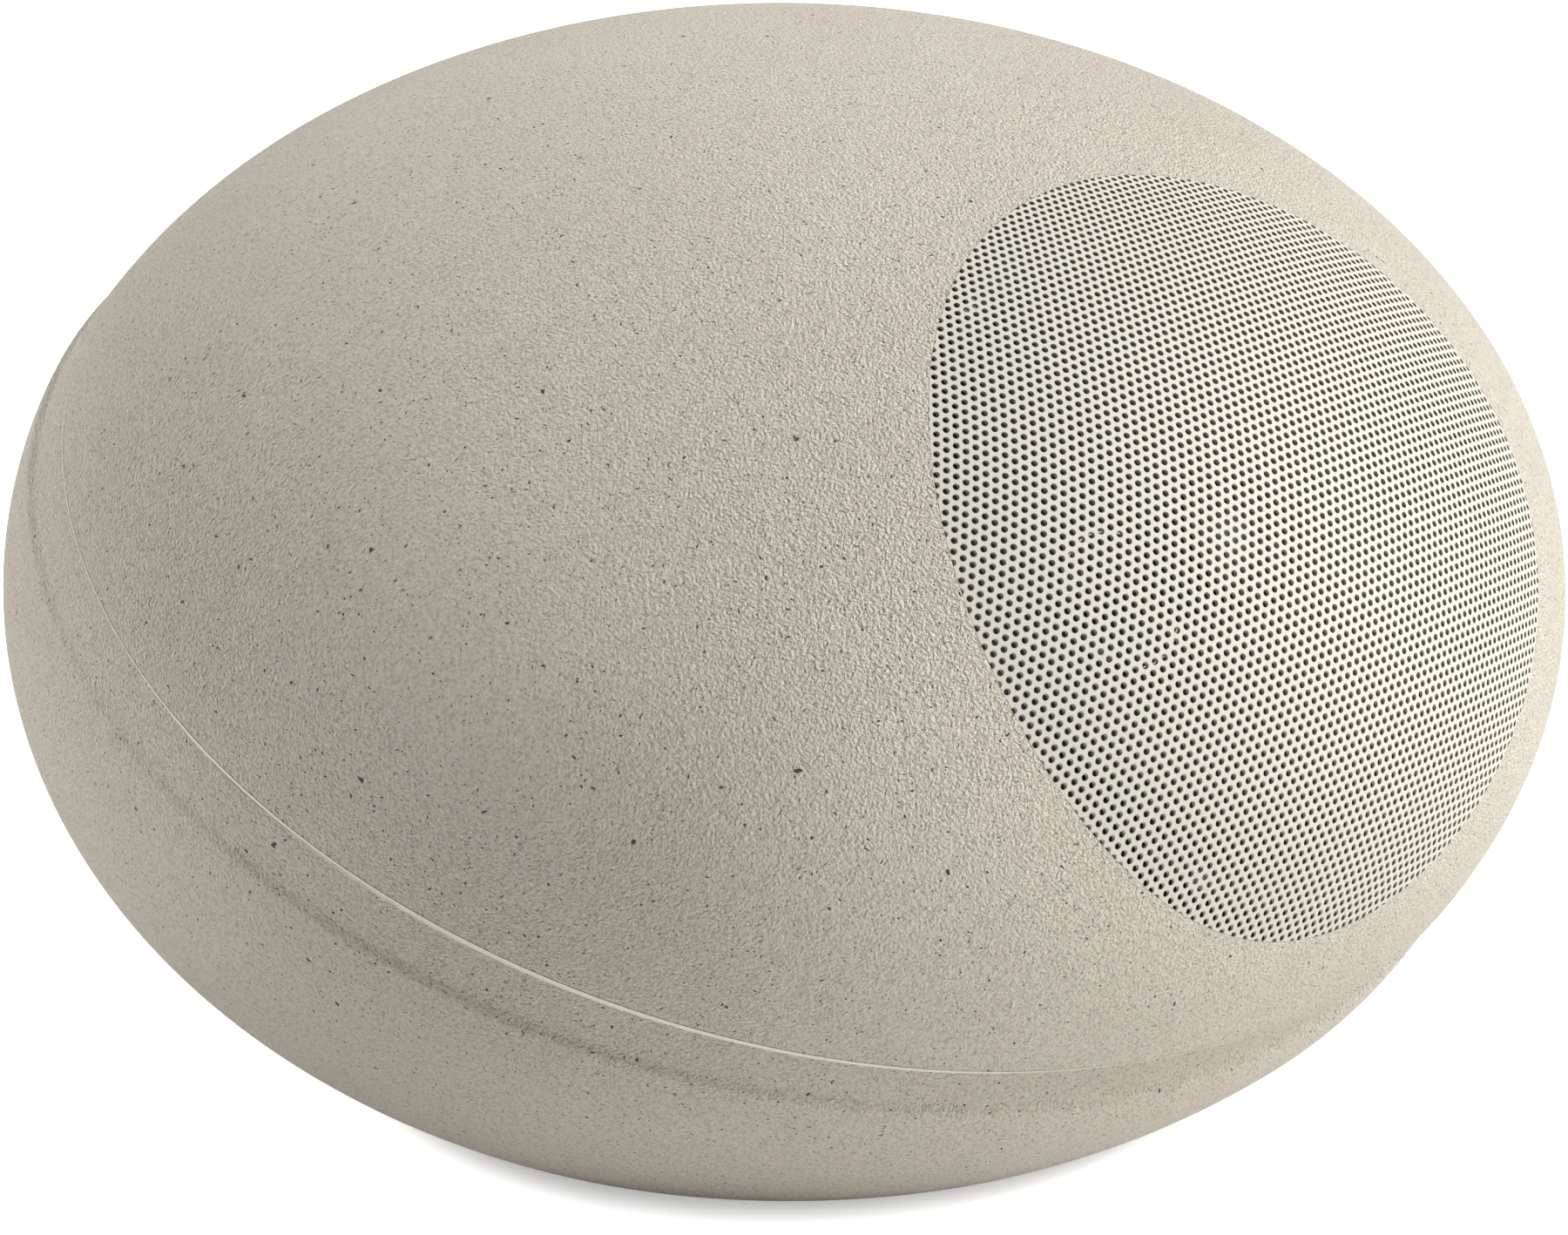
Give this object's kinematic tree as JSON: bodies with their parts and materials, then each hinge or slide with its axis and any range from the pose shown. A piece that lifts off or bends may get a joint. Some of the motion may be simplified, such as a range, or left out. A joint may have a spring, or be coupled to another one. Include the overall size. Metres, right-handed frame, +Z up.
{
  "type": "garden speaker",
  "caption": "Pebble-shaped outdoor garden speaker in a stone-look moulded shell with a tilted seam and a round perforated grille over a coaxial driver",
  "frame": {"origin": "middle of the flat base, on the ground", "axes": "+Z up, front with the grille towards -Y, +X to the right as seen from the front"},
  "size_m": [0.4389, 0.436, 0.2955],
  "materials": {
    "stone_shell": "moulded resin with a fine grain and dark specks",
    "grille_paint": "smooth satin powder coat",
    "basket_paint": "satin black",
    "black_rubber": "matte",
    "spider_cloth": "resin-dipped weave",
    "cone_plastic": "mineral-filled, semi-matte",
    "bare_aluminium": "bare",
    "enamelled_copper": "enamelled wire",
    "zinc_steel": "zinc plated",
    "ferrite": "ground and bare",
    "dome_metal": "anodised",
    "dark_plastic": "fine-textured",
    "terminal_brass": "bare",
    "board_resin": "solder-resist",
    "capacitor_film": "wrapped film",
    "resistor_ceramic": "unglazed"
  },
  "bodies": {
    "enclosure": {"upper_shell": "stone_shell", "lower_shell": "stone_shell", "seam_seal": "black_rubber", "grille": "grille_paint", "woofer_basket": "basket_paint", "driver_gasket": "black_rubber", "woofer_surround": "black_rubber", "woofer_spider": "spider_cloth", "top_plate": "zinc_steel", "woofer_magnet": "ferrite", "pole_yoke": "zinc_steel", "tweeter_post": "bare_aluminium", "tweeter_cup": "zinc_steel", "tweeter_magnet": "ferrite", "tweeter_pole_disc": "zinc_steel", "tweeter_dome": "dome_metal", "tweeter_faceplate": "dark_plastic", "driver_screws": "zinc_steel", "driver_terminals": "terminal_brass", "crossover_board": "board_resin", "crossover_screws": "zinc_steel", "inductor_bobbin": "dark_plastic", "inductor_winding": "enamelled_copper", "crossover_capacitors": "capacitor_film", "crossover_resistor": "resistor_ceramic", "terminal_block": "dark_plastic", "gland_body": "dark_plastic", "gland_locknut": "dark_plastic", "gland_nut": "dark_plastic", "gland_seal": "black_rubber"},
    "cone_assembly": {"woofer_cone": "cone_plastic", "voice_coil_former": "bare_aluminium", "voice_coil": "enamelled_copper"}
  },
  "joints": [
    {"name": "cone_travel", "type": "slide", "parent": "enclosure", "child": "cone_assembly", "axis": [0, -0.8387, 0.5446], "range_m": [-0.004, 0.004], "stiffness_N_per_m": 1200}
  ]
}
